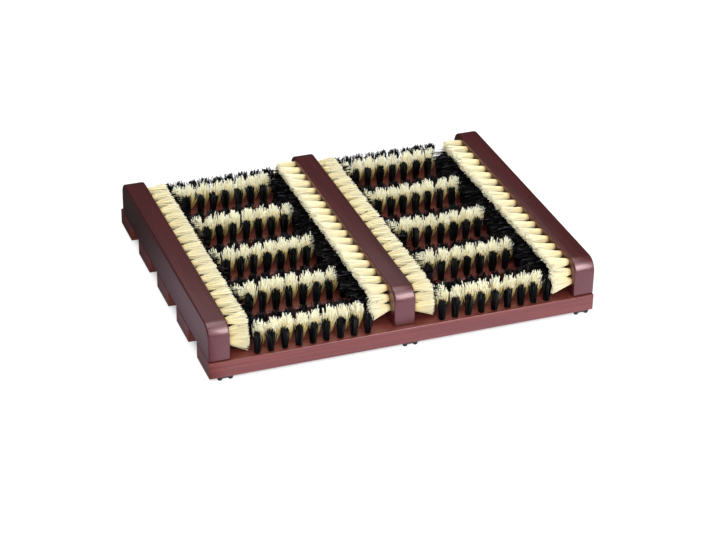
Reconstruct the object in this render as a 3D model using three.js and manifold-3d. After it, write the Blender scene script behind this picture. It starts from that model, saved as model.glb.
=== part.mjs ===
// Boot scraper: a two-lane brush mat of five boards, three rails and rows of bristle tufts.
// Millimetres, +Z up, the front at -Y, centred on the origin, with the feet standing on z = 0.
import * as THREE from "three";
import { mergeVertices } from "three/addons/utils/BufferGeometryUtils.js";
import Module from "manifold-3d";

// Overall sizes
const WIDTH = 440;
const DEPTH = 356;
const CLEARANCE = 0.3;

// Boards that run across the mat
const SLAT_COUNT = 5;
const SLAT_DEPTH = 46;
const SLAT_THICKNESS = 19;
const SLAT_EDGE_RADIUS = 1.5;
const SLAT_END_EASE = 1;

// Rails that run from front to back and stand on the boards
const RAIL_WIDTH = 24;
const RAIL_HEIGHT = 42;
const RAIL_END_RADIUS = 16;
const RAIL_EDGE_RADIUS = 2.5;
const OUTER_RAIL_SET_BACK = 2;
const OUTER_RAIL_BACK_SPACE = 9;
const CENTRE_RAIL_STEP = 5;

// Feet, and how far each one stands to the right of its even place
const FOOT_PAD_LENGTH = 18;
const FOOT_PAD_DEPTH = 5.6;
const FOOT_PAD_THICKNESS = 1.2;
const FOOT_STUD_HEIGHT = 2.8;
const FOOT_STUD_RADIUS = 2.6;
const FOOT_STUD_ROUND = 0.8;
const FOOT_STUD_SPACING = 11.6;
const FOOT_FROM_EDGE = 3.2;
const FOOT_FROM_SIDE = 15;
const FOOT_SHIFTS = [3, 5, 2];

// Wood screws that hold the rails down
const SCREW_HEAD_RADIUS = 4;
const SCREW_HEAD_RIM = 0.5;
const SCREW_HEAD_HEIGHT = 2.9;
const SCREW_SHANK_RADIUS = 2;
const SCREW_LENGTH = 40;
const SCREW_POINT = 6;

// Upright tufts on the boards
const BLACK_PER_ROW = 9;
const END_TUFT_FROM_RAIL = 30.4;
const BLACK_ROW_FROM_EDGE = 7;
const BLACK_TUFT_HEIGHT = 22;
const CREAM_TUFT_HEIGHT = 28;
const TUFT_ROOT_WIDTH = 4.6;
const TUFT_TIP_WIDTH = 8.4;
const TUFT_STRIP_WIDTH = 8;
const STRIP_THICKNESS = 1.2;
const STRIP_TIE_WIDTH = 5;
const STRIP_TIE_COVER = 1;

// Sideways tufts on the rails
const SIDE_CREAM_COUNT = 18;
const SIDE_ROW_FROM_END = 21.4;
const SIDE_CREAM_HEIGHT = 34.5;
const SIDE_CREAM_LENGTH = 24;
const SIDE_CREAM_ROOT = 5.6;
const SIDE_CREAM_TIP = 8.2;
const SIDE_CREAM_STRIP = 6.4;
const SIDE_BLACK_HEIGHT = 26.2;
const SIDE_BLACK_LENGTH = 31;
const SIDE_BLACK_ROOT = 5;
const SIDE_BLACK_TIP = 6.8;
const SIDE_BLACK_STRIP = 6.4;

// Cream tufts that turn down each end of a rail's row, as distance past its last tuft and height
const COLUMN_TUFTS = [
  [6, 24.7],
  [10, 14.7],
];
const COLUMN_STRIP_START = 2.6;
const COLUMN_STRIP_END = 13.4;
const COLUMN_STRIP_FOOT = 11;

// How far the brushes of each rail face stand behind the middle of their rail
const LEFT_RAIL_SHIFT = 0;
const CENTRE_RAIL_LEFT_SHIFT = 5;
const CENTRE_RAIL_RIGHT_SHIFT = -4;
const RIGHT_RAIL_SHIFT = -2;

// Colours and surfaces
const WOOD = { color: 0x6b3533, roughness: 0.38, metalness: 0 };
const BLACK_BRISTLE = { color: 0x1b1f24, roughness: 0.6, metalness: 0 };
const CREAM_BRISTLE = { color: 0xf2e3b6, roughness: 0.65, metalness: 0 };
const RUBBER = { color: 0x17181a, roughness: 0.8, metalness: 0 };
const STEEL = { color: 0xb9b6ae, roughness: 0.35, metalness: 1 };

// Places that follow from the sizes
const FOOT_HEIGHT = FOOT_PAD_THICKNESS + FOOT_STUD_HEIGHT;
const SLAT_TOP = FOOT_HEIGHT + SLAT_THICKNESS;
const SLAT_PITCH = (DEPTH - SLAT_DEPTH) / (SLAT_COUNT - 1);
const FRONT = -DEPTH / 2;
const RAIL_LENGTH = DEPTH - OUTER_RAIL_SET_BACK - OUTER_RAIL_BACK_SPACE;
const CENTRE_RAIL_SET_BACK = OUTER_RAIL_SET_BACK + CENTRE_RAIL_STEP;
const SLAT_Y = Array.from({ length: SLAT_COUNT }, (_, i) => FRONT + SLAT_DEPTH / 2 + i * SLAT_PITCH);
const RAIL_X = WIDTH / 2 - RAIL_WIDTH / 2;
const SCREW_X = [-RAIL_X, 0, RAIL_X];
const SIDE_NAMES = ["left", "centre", "right"];
const LANE_WIDTH = RAIL_X - RAIL_WIDTH;
const LANE_X = RAIL_X / 2;
const TUFT_PITCH = (LANE_WIDTH - 2 * END_TUFT_FROM_RAIL) / (BLACK_PER_ROW - 1);
const SIDE_ROW_END = RAIL_LENGTH / 2 - SIDE_ROW_FROM_END;
const SIDE_PITCH = (2 * SIDE_ROW_END) / (SIDE_CREAM_COUNT - 1);

const wasm = await Module();
wasm.setup();

// A closed three.js geometry as a manifold solid, without the faces that collapsed
function solid(geometry) {
  const bare = geometry.clone();
  bare.deleteAttribute("normal");
  bare.deleteAttribute("uv");
  const merged = mergeVertices(bare, 1e-4);
  const index = merged.index.array;
  const faces = [];
  for (let i = 0; i < index.length; i += 3) {
    const [a, b, c] = [index[i], index[i + 1], index[i + 2]];
    if (a !== b && b !== c && c !== a) faces.push(a, b, c);
  }
  const mesh = new wasm.Mesh({
    numProp: 3,
    vertProperties: merged.attributes.position.array,
    triVerts: new Uint32Array(faces),
  });
  return new wasm.Manifold(mesh);
}

// A manifold solid as a three.js geometry
function geometryOf(body) {
  const mesh = body.getMesh();
  const geometry = new THREE.BufferGeometry();
  geometry.setAttribute("position", new THREE.BufferAttribute(mesh.vertProperties, 3));
  geometry.setIndex(new THREE.BufferAttribute(mesh.triVerts, 1));
  geometry.computeVertexNormals();
  return geometry;
}

// A box between two corners
function box(low, high) {
  const size = high.map((value, axis) => value - low[axis]);
  const middle = high.map((value, axis) => (value + low[axis]) / 2);
  return solid(new THREE.BoxGeometry(...size).translate(...middle));
}

// A turned solid about an upright axis, from pairs of radius and height that run upwards
function turned(profile, sides) {
  const points = profile.map(([radius, z]) => new THREE.Vector2(radius, z));
  return solid(new THREE.LatheGeometry(points, sides).rotateX(Math.PI / 2));
}

// A tapered four-sided tuft along +Z whose root is sunk a little below the origin
function tuft(root, tip, length) {
  const sink = STRIP_THICKNESS / 2;
  const slope = (tip - root) / length;
  const low = (root - slope * sink) * Math.SQRT1_2;
  const high = tip * Math.SQRT1_2;
  const geometry = new THREE.CylinderGeometry(high, low, length + sink, 4, 1);
  return geometry.rotateY(Math.PI / 4).rotateX(Math.PI / 2).translate(0, 0, (length - sink) / 2);
}

const mat = new THREE.Group();
mat.name = "boot_scraper";

// Adds one named mesh with its own material to a group
function add(group, name, body, surface) {
  const mesh = new THREE.Mesh(geometryOf(body), new THREE.MeshStandardMaterial(surface));
  mesh.name = name;
  group.add(mesh);
  return mesh;
}

// Adds a group to the mat at a place
function place(x, y, z) {
  const group = new THREE.Group();
  group.position.set(x, y, z);
  mat.add(group);
  return group;
}

// The outline of a board seen from its end, in Y and Z, with eased long edges
function slatOutline() {
  const half = SLAT_DEPTH / 2;
  const r = SLAT_EDGE_RADIUS;
  const shape = new THREE.Shape();
  shape.moveTo(-half + r, 0);
  shape.lineTo(half - r, 0);
  shape.absarc(half - r, r, r, -Math.PI / 2, 0);
  shape.lineTo(half, SLAT_THICKNESS - r);
  shape.absarc(half - r, SLAT_THICKNESS - r, r, 0, Math.PI / 2);
  shape.lineTo(-half + r, SLAT_THICKNESS);
  shape.absarc(-half + r, SLAT_THICKNESS - r, r, Math.PI / 2, Math.PI);
  shape.lineTo(-half, r);
  shape.absarc(-half + r, r, r, Math.PI, 1.5 * Math.PI);
  return shape;
}

// One board before its grooves are cut, standing on its own origin
function slatBlank() {
  const geometry = new THREE.ExtrudeGeometry(slatOutline(), {
    depth: WIDTH - 2 * SLAT_END_EASE,
    bevelThickness: SLAT_END_EASE,
    bevelSize: SLAT_END_EASE,
    bevelOffset: -SLAT_END_EASE,
    bevelSegments: 1,
    curveSegments: 3,
  });
  geometry.rotateY(Math.PI / 2).rotateX(Math.PI / 2);
  return solid(geometry.translate(-WIDTH / 2 + SLAT_END_EASE, 0, 0));
}

// The side outline of a rail in Y and Z, with both upper ends rounded over
function railOutline(spare) {
  const half = RAIL_LENGTH / 2;
  const r = RAIL_END_RADIUS;
  const shape = new THREE.Shape();
  shape.moveTo(-half, -spare);
  shape.lineTo(half, -spare);
  shape.lineTo(half, RAIL_HEIGHT - r);
  shape.absarc(half - r, RAIL_HEIGHT - r, r, 0, Math.PI / 2);
  shape.lineTo(-half + r, RAIL_HEIGHT);
  shape.absarc(-half + r, RAIL_HEIGHT - r, r, Math.PI / 2, Math.PI);
  return shape;
}

// One rail before its grooves are cut: rounded edges, and a flat underside sawn at the origin
function railBlank() {
  const geometry = new THREE.ExtrudeGeometry(railOutline(2 * RAIL_EDGE_RADIUS), {
    depth: RAIL_WIDTH - 2 * RAIL_EDGE_RADIUS,
    bevelThickness: RAIL_EDGE_RADIUS,
    bevelSize: RAIL_EDGE_RADIUS,
    bevelOffset: -RAIL_EDGE_RADIUS,
    bevelSegments: 4,
    curveSegments: 8,
  });
  geometry.rotateY(Math.PI / 2).rotateX(Math.PI / 2);
  geometry.translate(-RAIL_WIDTH / 2 + RAIL_EDGE_RADIUS, 0, 0);
  const above = box([-RAIL_WIDTH, -RAIL_LENGTH, 0], [RAIL_WIDTH, RAIL_LENGTH, 2 * RAIL_HEIGHT]);
  return solid(geometry).intersect(above);
}

// A countersunk screw that stands on its head, or its hole when a gap is given
function screw(gap) {
  const head = SCREW_HEAD_RADIUS + gap;
  const shank = SCREW_SHANK_RADIUS + gap;
  const profile = [
    [0, gap > 0 ? -1 : 0],
    [head, gap > 0 ? -1 : 0],
    [head, SCREW_HEAD_RIM + gap],
    [shank, SCREW_HEAD_HEIGHT + gap],
    [shank, SCREW_LENGTH - SCREW_POINT],
    [0, SCREW_LENGTH + gap],
  ];
  return turned(profile, 16);
}

// The round studs of one foot stand on its origin, under a thin pad
function foot() {
  const halfLength = FOOT_PAD_LENGTH / 2;
  const halfDepth = FOOT_PAD_DEPTH / 2;
  const low = [-halfLength, -halfDepth, FOOT_STUD_HEIGHT];
  const high = [halfLength, halfDepth, FOOT_HEIGHT];
  const bodies = [box(low, high)];
  const profile = [
    [0, 0],
    [FOOT_STUD_RADIUS - FOOT_STUD_ROUND, 0],
    [FOOT_STUD_RADIUS, FOOT_STUD_ROUND],
    [FOOT_STUD_RADIUS, FOOT_STUD_HEIGHT + FOOT_PAD_THICKNESS / 2],
    [0, FOOT_STUD_HEIGHT + FOOT_PAD_THICKNESS / 2],
  ];
  for (const side of [-1, 1]) {
    bodies.push(turned(profile, 16).translate((side * FOOT_STUD_SPACING) / 2, 0, 0));
  }
  return wasm.Manifold.union(bodies);
}

const rowOffset = SLAT_DEPTH / 2 - BLACK_ROW_FROM_EDGE;
const stripEnd = RAIL_X - RAIL_WIDTH / 2 + STRIP_TIE_WIDTH + STRIP_TIE_COVER;

// The black rows' strips in a board and the ties that join them under the outer rails
function blackStrips(gap) {
  const half = TUFT_STRIP_WIDTH / 2 + gap;
  const tie = STRIP_TIE_WIDTH / 2 + gap;
  const low = SLAT_THICKNESS - STRIP_THICKNESS - gap;
  const high = SLAT_THICKNESS + (gap > 0 ? 1 : 0);
  const end = stripEnd + gap;
  const bodies = [];
  for (const side of [-1, 1]) {
    const middle = side * rowOffset;
    const tieMiddle = side * (stripEnd - STRIP_TIE_WIDTH / 2);
    bodies.push(box([-end, middle - half, low], [end, middle + half, high]));
    bodies.push(box([tieMiddle - tie, -rowOffset, low], [tieMiddle + tie, rowOffset, high]));
  }
  return wasm.Manifold.union(bodies);
}

// The cream row's strip, between the ties, with a hole where the middle screw passes
function creamStrip(gap) {
  const half = TUFT_STRIP_WIDTH / 2 + gap;
  const end = stripEnd - STRIP_TIE_WIDTH - STRIP_TIE_COVER - 1 + gap;
  const low = SLAT_THICKNESS - STRIP_THICKNESS - gap;
  const strip = box([-end, -half, low], [end, half, SLAT_THICKNESS + (gap > 0 ? 1 : 0)]);
  return gap > 0 ? strip : strip.subtract(screw(CLEARANCE));
}

// Upright tufts of one row across both lanes
function uprightRow(count, y, height) {
  const bodies = [];
  for (const middle of [-LANE_X, LANE_X]) {
    for (let i = 0; i < count; i += 1) {
      const x = middle + (i - (count - 1) / 2) * TUFT_PITCH;
      const strand = tuft(TUFT_ROOT_WIDTH, TUFT_TIP_WIDTH, height);
      bodies.push(solid(strand.translate(x, y, SLAT_THICKNESS)));
    }
  }
  return bodies;
}

// A board with its grooves and screw holes
function slat() {
  const cuts = [blackStrips(CLEARANCE), creamStrip(CLEARANCE)];
  for (const x of SCREW_X) cuts.push(screw(CLEARANCE).translate(x, 0, 0));
  return slatBlank().subtract(wasm.Manifold.union(cuts));
}

// Both black rows of a board on their joined strips
function blackTufts() {
  const bodies = [blackStrips(0)];
  for (const side of [-1, 1]) {
    bodies.push(...uprightRow(BLACK_PER_ROW, side * rowOffset, BLACK_TUFT_HEIGHT));
  }
  return wasm.Manifold.union(bodies);
}

// The cream row of a board, between the black rows and half a pitch aside
function creamTufts() {
  const row = uprightRow(BLACK_PER_ROW - 1, 0, CREAM_TUFT_HEIGHT);
  return wasm.Manifold.union([creamStrip(0), ...row]);
}

// A box let into the +X face of a rail, from its extent along the rail and its heights
function letIn(along, heights, gap) {
  const face = RAIL_WIDTH / 2;
  const low = [face - STRIP_THICKNESS - gap, along[0] - gap, heights[0] - gap];
  const high = [face + (gap > 0 ? 1 : 0), along[1] + gap, heights[1] + gap];
  return box(low, high);
}

// The cream strip of one rail face: a long row whose two ends turn down
function sideCreamStrip(gap) {
  const low = SIDE_CREAM_HEIGHT - SIDE_CREAM_STRIP / 2;
  const high = SIDE_CREAM_HEIGHT + SIDE_CREAM_STRIP / 2;
  const end = SIDE_ROW_END + COLUMN_STRIP_END;
  const turn = SIDE_ROW_END + COLUMN_STRIP_START;
  const bodies = [
    letIn([-end, end], [low, high], gap),
    letIn([-end, -turn], [COLUMN_STRIP_FOOT, low + 1], gap),
    letIn([turn, end], [COLUMN_STRIP_FOOT, low + 1], gap),
  ];
  return wasm.Manifold.union(bodies);
}

// The black strip of one rail face, below the cream row and between its turned ends
function sideBlackStrip(gap) {
  const end = SIDE_ROW_END - SIDE_PITCH / 2 + SIDE_BLACK_STRIP / 2;
  const low = SIDE_BLACK_HEIGHT - SIDE_BLACK_STRIP / 2;
  return letIn([-end, end], [low, low + SIDE_BLACK_STRIP], gap);
}

// One tuft that stands out sideways from the +X face of a rail
function sideTuft(y, z, root, tip, length) {
  const geometry = tuft(root, tip, length).rotateY(Math.PI / 2);
  return solid(geometry.translate(RAIL_WIDTH / 2, y, z));
}

// The cream tufts of one rail face and their strip, which stays inside the rail that stands beside them
function sideCreamTufts(railPlace) {
  const bodies = [sideCreamStrip(0).intersect(railBlank().translate(0, railPlace, 0))];
  const sizes = [SIDE_CREAM_ROOT, SIDE_CREAM_TIP, SIDE_CREAM_LENGTH];
  for (let i = 0; i < SIDE_CREAM_COUNT; i += 1) {
    const y = (i - (SIDE_CREAM_COUNT - 1) / 2) * SIDE_PITCH;
    bodies.push(sideTuft(y, SIDE_CREAM_HEIGHT, ...sizes));
  }
  for (const [past, height] of COLUMN_TUFTS) {
    for (const end of [-1, 1]) {
      bodies.push(sideTuft(end * (SIDE_ROW_END + past), height, ...sizes));
    }
  }
  return wasm.Manifold.union(bodies);
}

// The black tufts of one rail face, half a pitch aside from the cream ones
function sideBlackTufts() {
  const bodies = [sideBlackStrip(0)];
  const sizes = [SIDE_BLACK_ROOT, SIDE_BLACK_TIP, SIDE_BLACK_LENGTH];
  for (let i = 0; i < SIDE_CREAM_COUNT - 1; i += 1) {
    const y = (i - (SIDE_CREAM_COUNT - 2) / 2) * SIDE_PITCH;
    bodies.push(sideTuft(y, SIDE_BLACK_HEIGHT, ...sizes));
  }
  return wasm.Manifold.union(bodies);
}

// A rail with the grooves of its brushed faces and its screw holes
function rail(middle, faces) {
  const cuts = SLAT_Y.map((y) => screw(CLEARANCE).translate(0, y - middle, -SLAT_THICKNESS));
  for (const { side, shift } of faces) {
    const grooves = sideCreamStrip(CLEARANCE).add(sideBlackStrip(CLEARANCE));
    const facing = side > 0 ? grooves : grooves.rotate([0, 0, 180]);
    cuts.push(facing.translate(0, shift, 0));
  }
  return railBlank().subtract(wasm.Manifold.union(cuts));
}

// Boards from front to back, each with its tufts and the screws that come up through it
SLAT_Y.forEach((y, i) => {
  const board = place(0, y, FOOT_HEIGHT);
  add(board, `slat_${i + 1}`, slat(), WOOD);
  add(board, `black_tufts_${i + 1}`, blackTufts(), BLACK_BRISTLE);
  add(board, `cream_tufts_${i + 1}`, creamTufts(), CREAM_BRISTLE);
  SCREW_X.forEach((x, j) => {
    const fixing = add(board, `screw_${SIDE_NAMES[j]}_${i + 1}`, screw(0), STEEL);
    fixing.position.set(x, 0, 0);
  });
});

// Rails with the sides that carry brushes, each side's tufts turned to face its lane
const rails = [
  {
    name: "left",
    setBack: OUTER_RAIL_SET_BACK,
    faces: [{ face: "left_rail", side: 1, shift: LEFT_RAIL_SHIFT }],
  },
  {
    name: "centre",
    setBack: CENTRE_RAIL_SET_BACK,
    faces: [
      { face: "centre_rail_left", side: -1, shift: CENTRE_RAIL_LEFT_SHIFT },
      { face: "centre_rail_right", side: 1, shift: CENTRE_RAIL_RIGHT_SHIFT },
    ],
  },
  {
    name: "right",
    setBack: OUTER_RAIL_SET_BACK,
    faces: [{ face: "right_rail", side: -1, shift: RIGHT_RAIL_SHIFT }],
  },
];
rails.forEach(({ name, setBack, faces }, i) => {
  const middle = FRONT + setBack + RAIL_LENGTH / 2;
  const upright = place(SCREW_X[i], middle, SLAT_TOP);
  add(upright, `rail_${name}`, rail(middle, faces), WOOD);
  for (const { face, side, shift } of faces) {
    const creamTufts = sideCreamTufts(-side * shift);
    const rows = [
      add(upright, `cream_side_tufts_${face}`, creamTufts, CREAM_BRISTLE),
      add(upright, `black_side_tufts_${face}`, sideBlackTufts(), BLACK_BRISTLE),
    ];
    for (const row of rows) {
      row.position.y = shift;
      row.rotation.z = side > 0 ? 0 : Math.PI;
    }
  }
});

// Feet under the front and back boards, beside the rails
const footX = [-WIDTH / 2 + FOOT_FROM_SIDE, 0, WIDTH / 2 - FOOT_FROM_SIDE];
footX.forEach((evenX, i) => {
  const x = evenX + FOOT_SHIFTS[i];
  add(place(x, FRONT + FOOT_FROM_EDGE, 0), `foot_front_${SIDE_NAMES[i]}`, foot(), RUBBER);
  add(place(x, -FRONT - FOOT_FROM_EDGE, 0), `foot_back_${SIDE_NAMES[i]}`, foot(), RUBBER);
});

export default mat;
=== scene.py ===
"""Boot scraper: a two-lane brush mat of lacquered mahogany with black and cream bristle tufts."""
import logging
import math
from dataclasses import asdict, dataclass, fields
from enum import Enum
from typing import Any, Iterable, Optional, Sequence

import bmesh
import bpy
from bmesh.types import BMesh
from bpy.types import Material, Mesh, Node, NodeSocket as Socket, NodeTree, Object
from mathutils import Matrix, Vector


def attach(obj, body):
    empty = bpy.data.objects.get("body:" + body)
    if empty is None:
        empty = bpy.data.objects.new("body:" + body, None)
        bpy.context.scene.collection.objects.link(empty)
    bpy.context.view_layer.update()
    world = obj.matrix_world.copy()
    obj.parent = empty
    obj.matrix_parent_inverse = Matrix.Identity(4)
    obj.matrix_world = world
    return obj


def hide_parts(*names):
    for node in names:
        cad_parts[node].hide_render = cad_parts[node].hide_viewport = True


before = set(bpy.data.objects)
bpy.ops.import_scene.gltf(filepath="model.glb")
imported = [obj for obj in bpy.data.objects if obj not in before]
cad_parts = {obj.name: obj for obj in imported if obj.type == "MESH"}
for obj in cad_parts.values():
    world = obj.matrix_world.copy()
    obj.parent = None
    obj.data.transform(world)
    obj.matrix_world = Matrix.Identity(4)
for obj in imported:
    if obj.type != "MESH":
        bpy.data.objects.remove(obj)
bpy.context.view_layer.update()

Pair = tuple[float, float]
Triple = tuple[float, float, float]
MM = 0.001
REFRACTION = 1.5  # of lacquer and nylon
WHITE = (1.0, 1.0, 1.0, 1.0)
LOG = logging.getLogger("boot_scraper")


class Grain(Enum):
    """The way the wood fibres run in a piece."""

    ACROSS_THE_MAT = (1.0, 0.0, 0.0)
    ALONG_THE_RAILS = (0.0, 1.0, 0.0)


class RailSide(Enum):
    """The side of a rail that carries brushes, as a direction along X."""

    LEFT = -1.0
    RIGHT = 1.0


class Draw(Enum):
    """What a random number of a strand is for, as its step from the seed."""

    ANGLE = 1
    RADIUS = 2
    RAGGED = 3
    STRAY_ALONG = 4
    STRAY_ACROSS = 5
    LEAN_ALONG = 6
    LEAN_ACROSS = 7
    SHADE = 8
    STRAY_CHANCE = 9


class LampUse(Enum):
    """What a lamp is there for."""

    ALL = "light and reflections"
    LIGHT = "light without reflections"
    REFLECTION = "reflections alone, as a card that lights nothing"


def linear(colour: str) -> tuple[float, float, float, float]:
    """Turn an sRGB hex colour to linear light by the standard's curve.

    Args:
        colour: A # and six hex digits.

    Returns:
        Red, green, blue and an alpha of 1.
    """
    parts = [int(colour[i : i + 2], 16) / 255 for i in (1, 3, 5)]
    red, green, blue = [p / 12.92 if p <= 0.04045 else ((p + 0.055) / 1.055) ** 2.4 for p in parts]
    return red, green, blue, 1.0


def node(tree: NodeTree, kind: str, settings: Optional[dict[str, Any]] = None,
         inputs: Optional[dict[Any, Any]] = None) -> Node:
    """Add one node with its settings and links.

    Args:
        tree: The node tree that gets the node.
        kind: Blender's identifier of the node.
        settings: Properties of the node.
        inputs: Values or output sockets for its inputs, by name or index.

    Returns:
        The new node.
    """
    made = tree.nodes.new(kind)
    for name, value in (settings or {}).items():
        setattr(made, name, value)
    for name, value in (inputs or {}).items():
        if isinstance(value, Socket):
            tree.links.new(value, made.inputs[name])
        else:
            made.inputs[name].default_value = value
    return made


def calculate(tree: NodeTree, operation: str, first: Any, second: Any = 0.0) -> Socket:
    """Add one arithmetic step on numbers and give its result."""
    return node(tree, "ShaderNodeMath", {"operation": operation}, {0: first, 1: second}).outputs[0]


def mapped(tree: NodeTree, value: Socket, old: Pair, new: tuple[Any, Any], smooth: bool = False) -> Socket:
    """Carry a number from one range to another, held at the ends.

    Args:
        tree: The node tree.
        value: The number.
        old: The range that it comes from.
        new: The range that it goes to.
        smooth: Whether it eases in and out.
    """
    settings = {"interpolation_type": "SMOOTHSTEP" if smooth else "LINEAR"}
    return node(tree, "ShaderNodeMapRange", settings, {
        "Value": value, "From Min": old[0], "From Max": old[1], "To Min": new[0], "To Max": new[1],
    }).outputs["Result"]


def mixed(tree: NodeTree, factor: Socket, first: Any, second: Any) -> Socket:
    """Mix two colours by a factor."""
    return node(tree, "ShaderNodeMix", {"data_type": "RGBA"}, {
        "Factor": factor, "A": first, "B": second}).outputs["Result"]


def colour_ramp(tree: NodeTree, factor: Socket,
                stops: Sequence[tuple[float, str]]) -> Socket:
    """Turn a number to a colour.

    Args:
        tree: The node tree.
        factor: The number.
        stops: Numbers from low to high, each with its sRGB hex colour.
    """
    made = node(tree, "ShaderNodeValToRGB", inputs={"Fac": factor})
    elements = made.color_ramp.elements
    for element, (position, colour) in zip((elements[0], elements[1]), (stops[0], stops[-1])):
        element.position = position
        element.color = linear(colour)
    for position, colour in stops[1:-1]:
        elements.new(position).color = linear(colour)
    return made.outputs["Color"]


def new_material(name: str, values: dict[str, Any]) -> tuple[Material, NodeTree, Node]:
    """Make a material with one Principled shader.

    Args:
        name: What the finish is.
        values: Constant values of the shader's inputs by name.

    Returns:
        The material, its node tree and its shader.
    """
    material = bpy.data.materials.new(name)
    material.use_nodes = True
    tree = material.node_tree
    tree.nodes.clear()
    shader = node(tree, "ShaderNodeBsdfPrincipled", inputs=values)
    node(tree, "ShaderNodeOutputMaterial", inputs={"Surface": shader.outputs["BSDF"]})
    return material, tree, shader


def scene_object(name: str, data: bpy.types.ID) -> Object:
    """Put a mesh, a lamp or a camera in the scene as an object at the origin."""
    made = bpy.data.objects.new(name, data)
    bpy.context.scene.collection.objects.link(made)
    return made


def point_mesh(name: str, places: Iterable[Vector]) -> Mesh:
    """Make a mesh with a vertex at each place, in metres."""
    mesh = bpy.data.meshes.new(name)
    mesh.from_pydata([tuple(place) for place in places], [], [])
    return mesh


def finished_mesh(build: BMesh, name: str) -> Mesh:
    """Turn a bmesh into a mesh whose faces look outward, and free the bmesh."""
    bmesh.ops.recalc_face_normals(build, faces=build.faces)
    mesh = bpy.data.meshes.new(name)
    build.to_mesh(mesh)
    build.free()
    return mesh


def add_block(build: BMesh, size: Iterable[float], middle: Iterable[float] = (0, 0, 0),
              turn: float = 0.0) -> None:
    """Add a block, with its size and middle in millimetres and its turn about Z in radians."""
    place = Matrix.Translation(Vector(middle) * MM) @ Matrix.Rotation(turn, 4, "Z")
    scale = Matrix.Diagonal([length * MM for length in size] + [1])
    bmesh.ops.create_cube(build, size=1, matrix=place @ scale)


def turned_mesh(profile: Sequence[Pair], steps: int) -> Mesh:
    """Turn a profile about Z into a closed mesh.

    Args:
        profile: Radii and heights in millimetres, from one point on the axis to another.
        steps: Faces around.
    """
    build = bmesh.new()
    rings = []
    for radius, height in profile:
        ring = []
        for i in range(steps if radius else 1):
            a = 2 * math.pi * i / steps
            ring.append(build.verts.new((radius * math.cos(a) * MM, radius * math.sin(a) * MM, height * MM)))
        rings.append(ring)
    for low, high in zip(rings, rings[1:]):
        for i in range(steps):
            j = (i + 1) % steps
            corners = [low[i % len(low)], low[j % len(low)], high[j % len(high)], high[i % len(high)]]
            build.faces.new(list(dict.fromkeys(corners)))
    return finished_mesh(build, "turned")


def modify(source: Object, kind: str, **settings: Any) -> bpy.types.Modifier:
    """Add a modifier with its settings."""
    made = source.modifiers.new(kind, kind)
    for name, value in settings.items():
        setattr(made, name, value)
    return made


def settle(source: Object, name: str) -> Object:
    """Turn an object with live modifiers into a plain mesh object at the origin.

    Args:
        source: The object whose modifiers make the shape. It is removed.
        name: The finished piece's name.
    """
    bpy.context.view_layer.update()
    evaluated = source.evaluated_get(bpy.context.evaluated_depsgraph_get())
    mesh = bpy.data.meshes.new_from_object(evaluated)
    mesh.name = name
    bpy.data.objects.remove(source)
    return scene_object(name, mesh)


def smoothed(piece: Object, sharp_from: float) -> Object:
    """Shade a piece smooth, apart from the edges that turn by more than an angle in degrees."""
    piece.data.shade_smooth()
    piece.data.set_sharp_from_angle(angle=math.radians(sharp_from))
    return piece


def hand_over(piece: Object, nodes: Iterable[str]) -> None:
    """Let a finished piece ride on the body and stand for its solids.

    Args:
        piece: The finished piece.
        nodes: The solids that it stands for.
    """
    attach(piece, "root")
    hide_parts(*nodes)
    LOG.info("%s: %d faces", piece.name, len(piece.data.polygons))


@dataclass(frozen=True)
class LacqueredMahogany:
    """Planed mahogany, stained dark red-brown and sprayed with satin lacquer.

    The eye gets straight fine streaks and short dark pores along the grain, under a soft sheen.
    """

    name: str
    grain: Grain
    heart: str
    sap: str
    gloss: float = 0.25
    shine: float = 1.0
    sheen_tint: str = "#fbd2d8"
    roughness: float = 0.36
    coat_roughness: float = 0.16
    streak_mm: float = 1.6
    streak_length_mm: float = 130.0
    streak_range: Pair = (0.36, 0.66)
    pore: str = "#2a0d0e"
    pore_mm: float = 0.9
    pore_length_mm: float = 9.0
    pore_range: Pair = (0.58, 0.72)
    pore_strength: float = 0.35
    bump_strength: float = 0.12
    bump_height: float = 0.0002

    def _cells(self, tree: NodeTree, width_mm: float, length_mm: float, detail: float,
               roughness: float) -> Socket:
        """Noise whose cells are so wide and, along the grain, so long, with finer layers of a strength."""
        scale = tuple(1000 / (length_mm if along else width_mm) for along in self.grain.value)
        place = node(tree, "ShaderNodeTexCoord").outputs["Object"]
        stretched = node(tree, "ShaderNodeMapping", inputs={"Vector": place, "Scale": scale})
        return node(tree, "ShaderNodeTexNoise", inputs={
            "Vector": stretched.outputs[0], "Scale": 1.0, "Detail": detail, "Roughness": roughness}).outputs["Fac"]

    def build(self) -> Material:
        """Make mahogany whose streaks and pores follow the grain."""
        material, tree, shader = new_material(self.name, {
            "Roughness": self.roughness, "IOR": REFRACTION, "Specular IOR Level": self.shine,
            "Specular Tint": linear(self.sheen_tint), "Coat Weight": self.gloss,
            "Coat Roughness": self.coat_roughness})
        streaks = self._cells(tree, self.streak_mm, self.streak_length_mm, detail=3.0, roughness=0.55)
        low, high = self.streak_range
        colour = colour_ramp(tree, streaks, ((low, self.heart), (high, self.sap)))
        dots = self._cells(tree, self.pore_mm, self.pore_length_mm, detail=1.0, roughness=0.4)
        pores = mapped(tree, dots, self.pore_range, (0.0, self.pore_strength))
        tree.links.new(mixed(tree, pores, colour, linear(self.pore)), shader.inputs["Base Color"])
        bump = node(tree, "ShaderNodeBump", {"invert": True}, {
            "Strength": self.bump_strength, "Distance": self.bump_height, "Height": pores})
        tree.links.new(bump.outputs["Normal"], shader.inputs["Normal"])
        return material


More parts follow.
